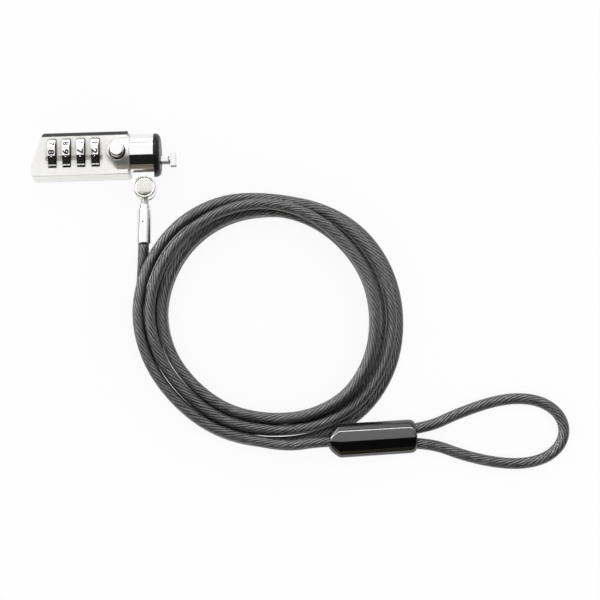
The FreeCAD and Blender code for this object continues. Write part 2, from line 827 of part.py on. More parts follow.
def make_cap():
    """The black end cap, and the guide whose two prongs stand out through it."""
    disc = rod("x", "-cap_length", "0", "head_radius")
    soft_disc = rounded(disc, "cap_round", rim("x", 0))
    spigot = rod("x", "-cap_length - spigot_length", "-cap_length + sink", "spigot_radius")
    hollow = rod("x", "-cap_length - spigot_length - overrun", "-cap_wall", "spigot_bore")
    opening = box(
        ("-cap_wall - overrun", "overrun"),
        ("bar_place - bar_radius - side_gap", "bar_place + bar_radius + side_gap"),
        ("-guide_height / 2 - side_gap", "guide_height / 2 + side_gap"),
    )
    node("end_cap", cut(join(soft_disc, spigot), hollow, opening))

    base = rod("x", "-cap_wall - guide_plate", "-cap_wall", "spigot_bore")
    blade = prism("guide_blade", "XZ_Plane", [
        ("-cap_wall - sink", "-guide_height / 2"),
        ("guide_reach - guide_slope", "-guide_height / 2"),
        ("guide_reach", "-guide_height / 2 + guide_slope"),
        ("guide_reach", "guide_height / 2 - guide_slope"),
        ("guide_reach - guide_slope", "guide_height / 2"),
        ("-cap_wall - sink", "guide_height / 2"),
    ], "guide_width", "bar_place")
    bore = rod("x", "-cap_wall - guide_plate - overrun", "guide_reach + overrun", "bar_radius + side_gap",
               ("bar_place", "0"))
    node("slot_guide", cut(join(base, blade), bore))


# Collar, knuckle and ferrule

def make_collar():
    low, high = "-shoulder_end + side_gap", "-cap_length - side_gap"
    pivot = ("-pivot_place", "-pivot_reach")
    ring = rod("x", low, high, "head_radius")
    ears = rod("z", "-ear_top", "ear_top", "ear_radius", pivot)
    block = box(("-pivot_place - ear_radius", high),
                ("-pivot_reach", "-ear_root"), ("-ear_top", "ear_top"))
    bore = rod("x", "-shoulder_end", "-cap_length", "journal_radius + running_gap")
    gap = rod("z", "-ear_inner", "ear_inner", "ear_radius + side_gap", pivot)
    outside = box(("-pivot_place - ear_radius - overrun", "-pivot_place + ear_radius + overrun"),
                  ("-pivot_reach - ear_radius - overrun", "-pivot_reach"), ("-ear_inner", "ear_inner"))
    rivet = rod("z", "-ear_top - overrun", "ear_top", "rivet_radius", pivot)
    sink = rod("z", "-ear_top - overrun", "-ear_top + rivet_head_height", "rivet_head", pivot)
    seat = rod("z", "ear_top - badge_thickness", "ear_top + overrun", "badge_radius", pivot)
    node("swivel_collar", cut(join(ring, ears, block), bore, gap, outside, rivet, sink, seat))

    node("knuckle_rivet", join(
        rod("z", "-ear_top", "-ear_top + rivet_head_height", "rivet_head", pivot),
        rod("z", "-ear_top", "ear_top - badge_thickness", "rivet_radius", pivot),
    ))
    badge = rod("z", "ear_top - badge_thickness", "ear_top", "badge_radius", pivot)
    line = cut(
        rod("z", "ear_top - badge_line", "ear_top + overrun", "badge_radius - badge_rim", pivot),
        rod("z", "ear_top - overrun", "ear_top + 2 * overrun", "badge_radius - 2 * badge_rim", pivot),
    )
    node("knuckle_badge", cut(badge, line))


def on_cable(item):
    """Moves a piece from the cable's own frame to its place on the lock."""
    item.Placement = Placement(Vector(), Rotation(Vector(0, 0, 1), size("cable_lean")))
    bind(item, "Placement.Base.x", "-pivot_place")
    bind(item, "Placement.Base.y", "-pivot_reach")
    return item


def make_knuckle():
    eye = rod("z", "-eye_height / 2", "eye_height / 2", "eye_radius")
    bore = rod("z", "-eye_height / 2 - overrun", "eye_height / 2 + overrun", "rivet_radius + running_gap")
    socket = rod("y", "-eye_radius - overrun", "-pin_root", "pin_tenon")
    node("cable_eye", on_cable(cut(eye, bore, socket)))

    tenon = rod("y", "-eye_radius - sink", "-pin_root", "pin_tenon")
    stem = rod("y", "-pin_head_start - sink", "-eye_radius", "pin_radius")
    head = rod("y", "-pin_head_end", "-pin_head_start", "pin_head_radius")
    node("swivel_pin", on_cable(join(tenon, stem, head)))


def make_ferrule():
    """The crimped end piece, free to turn on the swivel pin's head."""
    neck = rod("y", "-ferrule_step - overrun", "-ferrule_start", "ferrule_neck")
    barrel = rod("y", "-ferrule_end", "-ferrule_step", "ferrule_radius")
    soft_barrel = rounded(barrel, "ferrule_round", lambda edge, middle: (
        rim("y", -size("ferrule_end"))(edge, middle) or rim("y", -size("ferrule_step"))(edge, middle)
    ))
    pin_bore = rod("y", "-ferrule_counterbore - overrun", "-ferrule_start + overrun", "pin_radius + running_gap")
    cable_bore = rod("y", "-ferrule_end - overrun", "-ferrule_counterbore", "cable_radius")
    dimple = ball("dimple_radius", ("-dimple_side", "-dimple_place", "ferrule_radius + dimple_rise"))
    node("ferrule", on_cable(cut(join(soft_barrel, neck), pin_bore, cable_bore, dimple)))


# Cable, coil, sleeve and anchor loop

def arc_to(start, tangent, end):
    """An arc that leaves a point along a tangent and passes through an end point."""
    length = (end - start).Length
    along = (end - start) * (1 / length)
    turn = tangent.getAngle(along)
    if turn < 0.0001:
        return Part.LineSegment(start, end).toShape()
    bulge = tangent - along * tangent.dot(along)
    bulge.normalize()
    middle = (start + end) * 0.5 + bulge * (length / 2 * math.tan(turn / 2))
    return Part.Arc(start, middle, end).toShape()


def biarc(start, first, end, last):
    """Two arcs between two points, each with its own tangent."""
    gap = end - start
    spread = 2 * (1 - first.dot(last))
    reach = gap.dot(first + last)
    if spread < 0.000001:
        length = gap.dot(gap) / (2 * reach)
    else:
        length = (math.sqrt(reach * reach + spread * gap.dot(gap)) - reach) / spread
    near = start + first * length
    far = end - last * length
    across = far - near
    across.normalize()
    joint = (near + far) * 0.5
    return [arc_to(start, first, joint), arc_to(joint, across, end)]


def coil_point(quarter, steps, layer):
    angle = math.pi + quarter * math.pi / 2
    radius = size("coil_radius") - steps * size("strand_pitch")
    return Vector(
        size("coil_along") + radius * math.cos(angle),
        size("coil_out") + radius * math.sin(angle),
        -size("head_radius") + size("cable_radius") + layer * size("strand_pitch"),
    )


def coil_stations():
    """Points and tangents that the strand passes through, in order."""
    stations = [(quarter, *place) for quarter, place in enumerate(COIL_PLACES)]
    stations.append(LAST_CLIMB)
    stations.sort()
    route = []
    for quarter, steps, layer in stations:
        angle = math.pi + quarter * math.pi / 2
        tangent = Vector(-math.sin(angle), math.cos(angle), 0)
        route.append((coil_point(quarter, steps, layer), tangent))
    return route


def sleeve_frame():
    turn = Rotation(Vector(0, 0, 1), size("sleeve_yaw")) * Rotation(Vector(0, 1, 0), size("sleeve_pitch"))
    return Placement(Vector(size("sleeve_along"), size("sleeve_out"), size("sleeve_level")), turn)


def cable_frame():
    base = Vector(-size("pivot_place"), -size("pivot_reach"), 0)
    return Placement(base, Rotation(Vector(0, 0, 1), size("cable_lean")))


def tube(label, edges):
    """A cable along joined edges, with its volume held against its length."""
    path = Part.Wire(edges)
    start = edges[0].valueAt(edges[0].FirstParameter)
    way = edges[0].tangentAt(edges[0].FirstParameter)
    ring = Part.Wire(Part.makeCircle(size("cable_radius"), start, way))
    shape = path.makePipeShell([ring], True, False)
    expected = math.pi * size("cable_radius") ** 2 * path.Length
    print(f"{label}: length {path.Length:.1f}, volume over length x section "
          f"{shape.Volume / expected:.4f}")
    item = doc.addObject("Part::Feature", label)
    item.Shape = shape
    item.Placement = cable_frame()
    return node(label, item)


def least_gap(edges):
    """The least clear gap between stretches of a strand that aren't neighbours."""
    points = []
    for edge in edges:
        points.extend(edge.discretize(Distance=1.0)[:-1])
    apart = int(6 * size("cable_radius"))
    nearest = min(
        (points[i] - points[j]).Length
        for i in range(len(points)) for j in range(i + apart, len(points))
        if abs(points[i].x - points[j].x) < 10 and abs(points[i].y - points[j].y) < 10
    )
    return nearest - 2 * size("cable_radius")


def make_cable():
    ahead = Vector(0, -1, 0)
    begin = Vector(0, -size("cable_start"), 0)
    leave = Vector(0, -size("ferrule_end"), 0)
    frame = sleeve_frame()
    entry = frame.multVec(Vector(-size("sleeve_half"), 0, 0))
    finish = frame.multVec(Vector(size("crimp_low") + size("crimp_wall"), 0, 0))
    into = finish - entry
    into.normalize()
    route = [(leave, ahead)] + coil_stations() + [(entry, into)]
    edges = [Part.LineSegment(begin, leave).toShape()]
    for (start, first), (end, last) in zip(route, route[1:]):
        edges.extend(biarc(start, first, end, last))
    edges.append(Part.LineSegment(entry, finish).toShape())
    tightest = min(edge.Curve.Radius for edge in edges if hasattr(edge.Curve, "Radius"))
    gap = least_gap(edges)
    print(f"security_cable: tightest radius {tightest:.1f}, least gap {gap:.2f}")
    if gap < LEAST_COIL_GAP:
        print("security_cable: the gap is too small")
    tube("security_cable", edges)


def loop_points():
    """The loop's route: out of one bore of the sleeve, round, and back into the other."""
    frame = sleeve_frame()
    floor = -size("head_radius") + size("cable_radius")
    inside = size("crimp_high") - size("crimp_wall")
    legs = [size("leg_offset"), -size("leg_offset")]
    ends = [frame.multVec(Vector(inside, side, 0)) for side in legs]
    knees = [frame.multVec(Vector(size("leg_knee"), side, 0)) for side in legs]
    corners = [Vector(along, out, floor) for along, out in LOOP_CORNERS]
    return [ends[0], knees[0]] + corners + [knees[1], ends[1]]


def make_loop():
    points = loop_points()
    edges = []
    radii = []
    last = points[0]
    for before, corner, after in zip(points, points[1:], points[2:]):
        back = before - corner
        forth = after - corner
        turn = math.pi - back.getAngle(forth)
        shorter = min(back.Length, forth.Length)
        radius = LOOP_TRIM * shorter / math.tan(turn / 2)
        back.normalize()
        forth.normalize()
        enter = corner + back * (LOOP_TRIM * shorter)
        leave = corner + forth * (LOOP_TRIM * shorter)
        edges.append(Part.LineSegment(last, enter).toShape())
        edges.append(arc_to(enter, back * -1, leave))
        radii.append(radius)
        last = leave
    edges.append(Part.LineSegment(last, points[-1]).toShape())
    print("anchor_loop: radii " + ", ".join(f"{radius:.1f}" for radius in radii))
    tube("anchor_loop", edges)


def on_sleeve(item):
    item.Placement = cable_frame().multiply(sleeve_frame())
    return item


def oblong(low, high, radius):
    """A bar with two round sides, wide enough for two strands side by side."""
    return join(
        rod("x", low, high, radius, ("-sleeve_offset", "0")),
        rod("x", low, high, radius, ("sleeve_offset", "0")),
        box((low, high), ("-sleeve_offset", "sleeve_offset"), (f"-{radius}", radius)),
    )


def make_sleeve():
    half = size("sleeve_half")
    bar = oblong("-sleeve_half", "sleeve_half", "sleeve_radius")
    side = "(sleeve_offset + sleeve_radius)"
    plan = prism("sleeve_plan", "XY_Plane", [
        ("-sleeve_half", "-sleeve_nose_half"),
        ("sleeve_nose_start", f"-{side}"),
        ("sleeve_half", f"-{side}"),
        ("sleeve_half", side),
        ("sleeve_nose_start", side),
        ("-sleeve_half", "sleeve_nose_half"),
    ], "3 * sleeve_half")
    upright = 2 * half
    soft_end = rounded(plan, "sleeve_round", lambda edge, middle: (
        abs(edge.Vertexes[0].Z - edge.Vertexes[-1].Z) > upright and middle.x > size("crimp_high")
    ))
    soft_plan = rounded(soft_end, "sleeve_nose_round", lambda edge, middle: (
        abs(edge.Vertexes[0].Z - edge.Vertexes[-1].Z) > upright
        and middle.x < size("sleeve_nose_start") - size("sleeve_nose_round")
    ))
    entry = rod("x", "-sleeve_half - overrun", "crimp_low + overrun", "cable_radius")
    legs = [rod("x", "crimp_high - overrun", "sleeve_half + overrun", "cable_radius", (place, "0"))
            for place in ("leg_offset", "-leg_offset")]
    pocket = oblong("crimp_low", "crimp_high", "crimp_radius")
    node("sleeve_cover", on_sleeve(cut(shared(bar, soft_plan), entry, *legs, pocket)))

    blind = rod("x", "crimp_low - overrun", "crimp_low + crimp_wall", "cable_radius")
    ends = [rod("x", "crimp_high - crimp_wall", "crimp_high + overrun", "cable_radius", (place, "0"))
            for place in ("leg_offset", "-leg_offset")]
    barrel = oblong("crimp_low", "crimp_high", "crimp_radius")
    node("crimp_barrel", on_sleeve(cut(barrel, blind, *ends)))


# Springs

def spring(label, axis, low, high, radius, turns, centre):
    """A coil spring between two places along an axis, its wire drawn with eight sides."""
    wire = size("spring_wire")
    height = high - low - 2 * wire
    pitch = height / turns
    helix = Part.makeHelix(pitch, height, radius)
    tilt = Rotation(Vector(0, 0, 1), Vector(0, 2 * math.pi * radius, pitch))
    corners = []
    for index in range(WIRE_SIDES + 1):
        angle = 2 * math.pi * index / WIRE_SIDES
        around = Vector(wire * math.cos(angle), wire * math.sin(angle), 0)
        corners.append(Vector(radius, 0, 0) + tilt.multVec(around))
    item = doc.addObject("Part::Feature", label)
    item.Shape = Part.Wire(helix).makePipeShell([Part.makePolygon(corners)], True, True)
    base = {"x": Vector(low + wire, *centre), "z": Vector(*centre, low + wire)}[axis]
    item.Placement = Placement(base, TURNS[axis])
    node(label, item)


def make_springs():
    spring(
        "button_spring", "z", size("plate_top"), size("slider_low"),
        size("button_spring_radius"), int(size("button_spring_turns")),
        (-size("button_place"), (size("slider_near") + size("slider_far")) / 2),
    )
    spring(
        "spindle_spring", "x", size("spring_wall") - size("shell_length"),
        size("spindle_inset") - size("shell_length"),
        size("spindle_spring_radius"), int(size("spindle_spring_turns")),
        (size("dial_across"), size("dial_rise")),
    )


plate_screws = make_shell()
make_cradle(plate_screws)
for dial in range(DIAL_COUNT):
    make_dial(dial)
    make_code_wheel(dial)
make_spindle()
make_button()
make_slider()
make_bar()
make_cap()
make_collar()
make_knuckle()
make_ferrule()
make_sleeve()
make_cable()
make_loop()
make_springs()
doc.recompute()

failed = [item.Label for item in doc.Objects if {"Invalid", "Error"} & set(item.State)]
failed += [item.Label for item in NODES if item.Shape.isNull() or not item.Shape.isValid()]
if failed:
    raise SystemExit("not built: " + ", ".join(failed))
for item in NODES:
    bounds = item.Shape.BoundBox
    print(f"{item.Label}: {len(item.Shape.Solids)} solids, {item.Shape.Volume:.1f} mm3, "
          f"x {bounds.XMin:.2f}..{bounds.XMax:.2f} y {bounds.YMin:.2f}..{bounds.YMax:.2f} "
          f"z {bounds.ZMin:.2f}..{bounds.ZMax:.2f}")
    item.Shape.exportStep(f"parts/{item.Label}.step")
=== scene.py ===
import math

import bmesh
import bpy
from mathutils import Matrix, Vector


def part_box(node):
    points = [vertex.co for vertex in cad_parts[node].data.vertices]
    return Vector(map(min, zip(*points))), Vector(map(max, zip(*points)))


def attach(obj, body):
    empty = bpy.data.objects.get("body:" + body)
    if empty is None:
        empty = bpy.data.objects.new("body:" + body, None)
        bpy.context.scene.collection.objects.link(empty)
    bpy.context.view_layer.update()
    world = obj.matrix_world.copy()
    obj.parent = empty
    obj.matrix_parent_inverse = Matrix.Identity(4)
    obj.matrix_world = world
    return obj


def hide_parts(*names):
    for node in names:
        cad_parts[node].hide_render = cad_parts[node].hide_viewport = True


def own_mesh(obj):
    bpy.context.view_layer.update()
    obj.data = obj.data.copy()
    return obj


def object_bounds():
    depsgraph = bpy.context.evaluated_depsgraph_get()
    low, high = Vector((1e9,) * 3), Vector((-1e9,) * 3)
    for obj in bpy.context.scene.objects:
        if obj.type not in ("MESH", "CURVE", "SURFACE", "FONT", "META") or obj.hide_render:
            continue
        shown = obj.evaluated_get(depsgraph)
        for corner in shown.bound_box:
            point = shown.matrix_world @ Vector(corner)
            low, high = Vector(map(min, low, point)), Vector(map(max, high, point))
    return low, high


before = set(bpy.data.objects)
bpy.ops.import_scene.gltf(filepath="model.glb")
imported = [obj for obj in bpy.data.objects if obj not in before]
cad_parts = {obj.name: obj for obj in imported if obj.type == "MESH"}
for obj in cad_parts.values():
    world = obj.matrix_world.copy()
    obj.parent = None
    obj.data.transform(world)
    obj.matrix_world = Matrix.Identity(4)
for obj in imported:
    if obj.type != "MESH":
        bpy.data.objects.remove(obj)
cad_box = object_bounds()
MM = 0.001


# Camera

PAGE_LEAN = math.radians(1.8)
PAGE_UP = Vector((math.sin(PAGE_LEAN), math.cos(PAGE_LEAN), 0))
PAGE_RIGHT = Vector((math.cos(PAGE_LEAN), -math.sin(PAGE_LEAN), 0))
LOOK_TILT = math.radians(9.0)
LOOK_AT = Vector((54.4, -60.8, -2.0)) * MM
LOOK_DISTANCE = 0.65
FIELD_WIDTH = 0.24
SENSOR_WIDTH = 36.0


def make_camera():
    """The camera over the object, leaning back from straight down by the look's tilt."""
    bpy.context.scene.view_settings.view_transform = "Standard"
    back = PAGE_UP * -math.sin(LOOK_TILT) + Vector((0, 0, math.cos(LOOK_TILT)))
    up = back.cross(PAGE_RIGHT)
    data = bpy.data.cameras.new("camera")
    data.sensor_width = SENSOR_WIDTH
    data.lens = SENSOR_WIDTH * LOOK_DISTANCE / FIELD_WIDTH
    data.clip_start = 0.01
    data.clip_end = 10.0
    camera = bpy.data.objects.new("camera", data)
    turn = Matrix((PAGE_RIGHT, up, back)).transposed().to_4x4()
    camera.matrix_world = Matrix.Translation(LOOK_AT + back * LOOK_DISTANCE) @ turn
    bpy.context.collection.objects.link(camera)
    bpy.context.scene.camera = camera


# Mesh helpers

# The least radius in a turned profile, where a flat end closes on the axis
CORE = 0.01


def linked(piece):
    bpy.context.collection.objects.link(piece)
    return piece


def smooth(mesh):
    for face in mesh.polygons:
        face.use_smooth = True


def mesh_piece(name, build, material, soft=True):
    """Makes an object from a bmesh in millimetres."""
    build.normal_update()
    mesh = bpy.data.meshes.new(name)
    build.to_mesh(mesh)
    build.free()
    mesh.transform(Matrix.Scale(MM, 4))
    mesh.materials.append(material)
    if soft:
        smooth(mesh)
    return linked(bpy.data.objects.new(name, mesh))


def skin(build, rings, closed=True):
    """Faces between rings of points, each with as many points as the next."""
    rows = [[build.verts.new(point) for point in ring] for ring in rings]
    for row, after in zip(rows, rows[1:]):
        for side in range(len(row)):
            further = (side + 1) % len(row)
            build.faces.new((row[side], row[further], after[further], after[side]))
    if closed:
        build.faces.new(rows[0][::-1])
        build.faces.new(rows[-1])


def lathe(build, profile, centre, stretch=1.0, sides=64):
    """A turned form about a vertical axis, from (radius, height) pairs, stretched along Y."""
    rings = []
    for radius, height in profile:
        ring = []
        for side in range(sides):
            angle = 2 * math.pi * side / sides
            ring.append((
                centre[0] + radius * math.cos(angle),
                centre[1] + radius * stretch * math.sin(angle),
                height,
            ))
        rings.append(ring)
    skin(build, rings)


def corner_round(radius, height, turn, steps=8):
    """Points round an upper outside corner, from the top down, as (radius, height) pairs."""
    points = []
    for step in range(steps + 1):
        angle = math.pi / 2 * step / steps
        points.append((radius - turn + turn * math.sin(angle), height - turn + turn * math.cos(angle)))
    return points


# Cable route: points in millimetres in the cable's own frame, as in the construction

KNUCKLE_PLACE = (-6.55, -13.8)
CABLE_TURN = Matrix.Rotation(math.radians(-2.5), 4, "Z")
CABLE_ORIGIN = Matrix.Translation(Vector((*KNUCKLE_PLACE, 0)))
SLEEVE_TURN = Matrix.Rotation(math.radians(5.0), 4, "Z") @ Matrix.Rotation(math.radians(9.0), 4, "Y")
SLEEVE_PLACE = Matrix.Translation(Vector((92.2, -99.3, -2.68))) @ SLEEVE_TURN
FLOOR_LINE = -6.6
CABLE_RADIUS = 2.2
STRAND_STEP = 4.6
LAYER_HEIGHT = 4.95
COIL_CENTRE = Vector((50.4, -50.7))
COIL_RADIUS = 51.8
POINTS_PER_QUARTER = 4

# The strand's places at quarter turns from the coil's left side, as (quarter, steps in, layers up)
COIL_PLACES = [
    (0, 0, 0), (1, 0, 0), (1.65, -0.3, 0), (2, -0.1, 0), (2.4, -0.1, 0), (3, 0.6, 0),
    (4, 1, 0), (5, 1, 0), (6, 0.95, 0), (6.4, 0.9, 0), (7, 1.6, 0),
    (8, 2, 0), (9, 2, 0), (9.6, 1.72, 0.65), (10, 2, 1), (10.5, 2, 1), (11, 1.7, 1),
    (12, 2, 1), (13, 2, 1), (13.5, 1.6, 1.6), (14, 2, 2), (14.5, 2, 2), (15, 1.3, 2),
    (16, 1, 2), (17, 1, 1), (17.6, 0.4, 1), (18, 0.5, 1), (18.4, 0.6, 1), (19, 0.72, 1),
    (19.4, 0.15, 2), (20, 0, 2), (21, 0, 1),
]

# How far the whole coil leaves a true circle at each eighth turn from its left side
COIL_DRIFT = [0, -2.3, -1.8, 0.4, -0.4, -1.2, -1.4, -0.4]

# The route from the ferrule down to the coil, and a place on its way from the coil to the sleeve
CABLE_LEAD = [(0, -21.9, 0), (0, -30, 0), (-0.5, -37, -3.0), (-1.4, -44, -6.6)]
CABLE_RISE = (60.6, -102.6, -0.6)

# Places along the sleeve that the cable and the loop's legs run through, and the legs' offset
CABLE_IN_SLEEVE = (-24.5, -17.5, -3)
LEGS_IN_SLEEVE = (10, 22)
LEG_OFFSET = 2.6

LOOP_CORNERS = [
    (127.2, -88.1), (144.1, -82.4), (157.1, -82.3), (165.8, -86.8), (169.2, -94.0),
    (167.0, -101.4), (159.6, -106.9), (147.3, -108.7), (130.4, -105.9),
]


def on_cable(point):
    """A place in the cable's own frame, moved to the shared frame, in metres."""
    return (CABLE_ORIGIN @ CABLE_TURN @ Vector(point)) * MM


def on_sleeve(point):
    """A place in the sleeve's frame, moved to the cable's own."""
    return SLEEVE_PLACE @ Vector(point)


def eased(share):
    """A share from 0 to 1 that starts and ends gently."""
    return share * share * (3 - 2 * share)


def coil_place(quarter):
    """Steps in and layers up at a quarter turn, eased between the places."""
    for (start, step, layer), (end, next_step, next_layer) in zip(COIL_PLACES, COIL_PLACES[1:]):
        if start <= quarter <= end:
            share = eased((quarter - start) / (end - start))
            return step + (next_step - step) * share, layer + (next_layer - layer) * share
    raise ValueError("the quarter is off the coil")


def coil_drift(quarter):
    """How far the coil leaves a true circle at a quarter turn, eased between the eighths."""
    eighth = 2 * quarter
    start = int(eighth)
    before = COIL_DRIFT[start % len(COIL_DRIFT)]
    after = COIL_DRIFT[(start + 1) % len(COIL_DRIFT)]
    return before + (after - before) * eased(eighth - start)


def coil_points():
    """The coil's control points, pushed out so that the middles between them lie on the coil."""
    points = []
    quarters = COIL_PLACES[-1][0]
    reach = 1 / math.cos(math.pi / (4 * POINTS_PER_QUARTER))
    for count in range(quarters * POINTS_PER_QUARTER + 1):
        quarter = count / POINTS_PER_QUARTER
        step, layer = coil_place(quarter)
        angle = math.pi + quarter * math.pi / 2
        radius = (COIL_RADIUS + coil_drift(quarter) - step * STRAND_STEP) * reach
        points.append((
            COIL_CENTRE.x + radius * math.cos(angle),
            COIL_CENTRE.y + radius * math.sin(angle),
            FLOOR_LINE + layer * LAYER_HEIGHT,
        ))
    return points


def cable_points():
    """The cable's control points, from the ferrule to the crimp inside the sleeve."""
    tail = [on_sleeve((place, 0, 0)) for place in CABLE_IN_SLEEVE]
    return CABLE_LEAD + coil_points() + [CABLE_RISE] + tail


def loop_points():
    """The loop's control points, from one leg inside the sleeve round to the other."""
    start, end = LEGS_IN_SLEEVE
    first, last = [on_sleeve((start, side, 0)) for side in (LEG_OFFSET, -LEG_OFFSET)]
    lands, leaves = [on_sleeve((end, side, 0)) for side in (LEG_OFFSET, -LEG_OFFSET)]
    corners = [(along, out, FLOOR_LINE) for along, out in LOOP_CORNERS]
    return [first, lands] + corners + [leaves, last]


def nurbs_line(points, steps):
    """The smooth line that a NURBS spline with these control points makes, in metres."""
    data = bpy.data.curves.new("route", "CURVE")
    data.dimensions = "3D"
    data.resolution_u = steps
    spline = data.splines.new("NURBS")
    spline.points.add(len(points) - 1)
    for knot, point in zip(spline.points, points):
        knot.co = (*on_cable(point), 1)
    spline.order_u = 3
    spline.use_endpoint_u = True
    route = bpy.data.objects.new("route", data)
    mesh = bpy.data.meshes.new_from_object(route)
    line = [vertex.co.copy() for vertex in mesh.vertices]
    bpy.data.meshes.remove(mesh)
    bpy.data.objects.remove(route)
    return line


def sweep(name, line, radius, material, sides=32):
    """A round tube along a line. Its UV runs in metres along it and once round it."""
    mesh = bpy.data.meshes.new(name)
    build = bmesh.new()
    uv = build.loops.layers.uv.new("UVMap")
    across = Vector((0, 0, -1))
    rings = []
    travel = [0.0]
    for index, place in enumerate(line):
        ahead = line[min(index + 1, len(line) - 1)] - line[max(index - 1, 0)]
        ahead.normalize()
        across = (across - ahead * across.dot(ahead)).normalized()
        beside = ahead.cross(across)
        if index:
            travel.append(travel[-1] + (place - line[index - 1]).length)
        ring = []
        for side in range(sides):
            angle = 2 * math.pi * side / sides
            out = across * math.cos(angle) + beside * math.sin(angle)
            ring.append(build.verts.new(place + out * radius))
        rings.append(ring)
    for index, (ring, after) in enumerate(zip(rings, rings[1:])):
        for side in range(sides):
            further = (side + 1) % sides
            face = build.faces.new((ring[side], ring[further], after[further], after[side]))
            corners = [(index, side), (index, side + 1), (index + 1, side + 1), (index + 1, side)]
            for loop, (row, column) in zip(face.loops, corners):
                loop[uv].uv = (travel[row], column / sides)
    build.faces.new(rings[0][::-1])
    build.faces.new(rings[-1])
    build.normal_update()
    build.to_mesh(mesh)
    build.free()
    mesh.materials.append(material)
    smooth(mesh)
    return linked(bpy.data.objects.new(name, mesh))


# Materials: sizes in metres, except for the places on the shell, which are in millimetres

GRAIN_DETAIL = 4
GRAIN_SPAN = (0.3, 0.7)
SHADE_SAMPLES = 6


def shader(name, **values):
    """A material, its node tree and its shader, with the shader's own sockets set."""
    material = bpy.data.materials.new(name)
    material.use_nodes = True
    surface = material.node_tree.nodes["Principled BSDF"]
    for socket, value in values.items():
        surface.inputs[socket.replace("_", " ")].default_value = value
    return material, material.node_tree, surface


def grey(level):
    return (level, level, level, 1)


def add(tree, kind, **settings):
    node = tree.nodes.new(kind)
    for key, value in settings.items():
        setattr(node, key, value)
    return node


def feed(tree, node, inputs):
    """Fills a node's inputs, each from a socket or a constant."""
    for place, value in inputs:
        if isinstance(value, bpy.types.NodeSocket):
            tree.links.new(value, node.inputs[place])
        else:
            node.inputs[place].default_value = value


def maths(tree, kind, *values):
    """A Math node's result."""
    node = add(tree, "ShaderNodeMath", operation=kind)
    feed(tree, node, enumerate(values))
    return node.outputs["Value"]


def mixed(tree, share, first, second, kind="MIX"):
    """A colour between two, or another blend of them."""
    node = add(tree, "ShaderNodeMix", data_type="RGBA", blend_type=kind)
    feed(tree, node, (("A", first), ("B", second), ("Factor", share)))
    return node.outputs["Result"]


def mapped(tree, value, span, result, kind="LINEAR"):
    """A value's way through one span, as a place in another."""
    node = add(tree, "ShaderNodeMapRange", interpolation_type=kind)
    names = ("From Min", "From Max", "To Min", "To Max")
    feed(tree, node, zip(names, (*span, *result)))
    feed(tree, node, [("Value", value)])
    return node.outputs["Result"]


def split(tree, vector):
    """The three coordinates of a vector."""
    node = add(tree, "ShaderNodeSeparateXYZ")
    tree.links.new(vector, node.inputs["Vector"])
    return [node.outputs[axis] for axis in "XYZ"]


def openness(tree, reach):
    """1 in the open, and less in a crevice narrower than the reach."""
    node = add(tree, "ShaderNodeAmbientOcclusion", samples=SHADE_SAMPLES)
    node.inputs["Distance"].default_value = reach
    return node.outputs["AO"]


def grain(tree, surface, scale, rough, bump, relief, edge=0.0):
    """Fine noise in the roughness and the bump, and softly rounded edges."""
    place = add(tree, "ShaderNodeTexCoord")
    noise = add(tree, "ShaderNodeTexNoise")
    noise.inputs["Scale"].default_value = 1 / scale
    noise.inputs["Detail"].default_value = GRAIN_DETAIL
    tree.links.new(place.outputs["Object"], noise.inputs["Vector"])
    tree.links.new(mapped(tree, noise.outputs["Fac"], GRAIN_SPAN, rough), surface.inputs["Roughness"])
    raised = add(tree, "ShaderNodeBump")
    feed(tree, raised, (("Strength", bump), ("Distance", relief), ("Height", noise.outputs["Fac"])))
    if edge:
        rounding = add(tree, "ShaderNodeBevel", samples=SHADE_SAMPLES)
        rounding.inputs["Radius"].default_value = edge
        tree.links.new(rounding.outputs["Normal"], raised.inputs["Normal"])
    tree.links.new(raised.outputs["Normal"], surface.inputs["Normal"])
    return noise.outputs["Fac"]


def grained(name, dark, light, scale, rough, bump, relief, edge=0.0, **values):
    """A material whose base colour is as uneven as its grain."""
    material, tree, surface = shader(name, **values)
    noise = grain(tree, surface, scale, rough, bump, relief, edge)
    tree.links.new(mixed(tree, noise, dark, light), surface.inputs["Base Color"])
    return material


def within(tree, socket, low, high):
    """1 where a coordinate lies between two places in millimetres."""
    above = maths(tree, "GREATER_THAN", socket, low * MM)
    below = maths(tree, "LESS_THAN", socket, high * MM)
    return maths(tree, "MULTIPLY", above, below)


def within_box(tree, place, spans):
    """1 inside a box in millimetres, given as its span along each axis."""
    inside = [within(tree, socket, *span) for socket, span in zip(place, spans)]
    return maths(tree, "MULTIPLY", maths(tree, "MULTIPLY", inside[0], inside[1]), inside[2])


SILVER_LOW = (0.85, 0.84, 0.815, 1)
SILVER_HIGH = (0.93, 0.925, 0.9, 1)
# Painted shade in crevices on the shell: its colour, and how narrow a crevice must be to take it
CREVICE_SHADE = (0.3, 0.28, 0.25, 1)
CREVICE_REACH = 0.0015
# Painted shade on the index groove's floor and in the button's pocket
GROOVE_SHADE = (0.5, 0.47, 0.42, 1)
# The level of the near-black painted shade in the hollow behind the windows and on the journal inside the
# collar, and the boxes, in millimetres, that hold the painted shade
HOLLOW_SHADE_LEVEL = 0.012
HOLLOW_BOX = ((-47.2, -21.7), (-6.3, 7.5), (-5.0, 5.62))
JOURNAL_BOX = ((-11.98, 0), (-8.0, 8.0), (-8.0, 8.0))
GROOVE_BOX = ((-46.0, -22.6), (-2.7, -0.7), (5.3, 5.75))
BUTTON_PLACE = -16.8
POCKET_RADIUS = 3.26

# The shell's face and shoulder: where along it the one ends and the other starts, and their metal
FACE_END = -25 * MM
SHOULDER_START = -16 * MM
FACE_METAL = 0.2
SHOULDER_METAL = 0.9


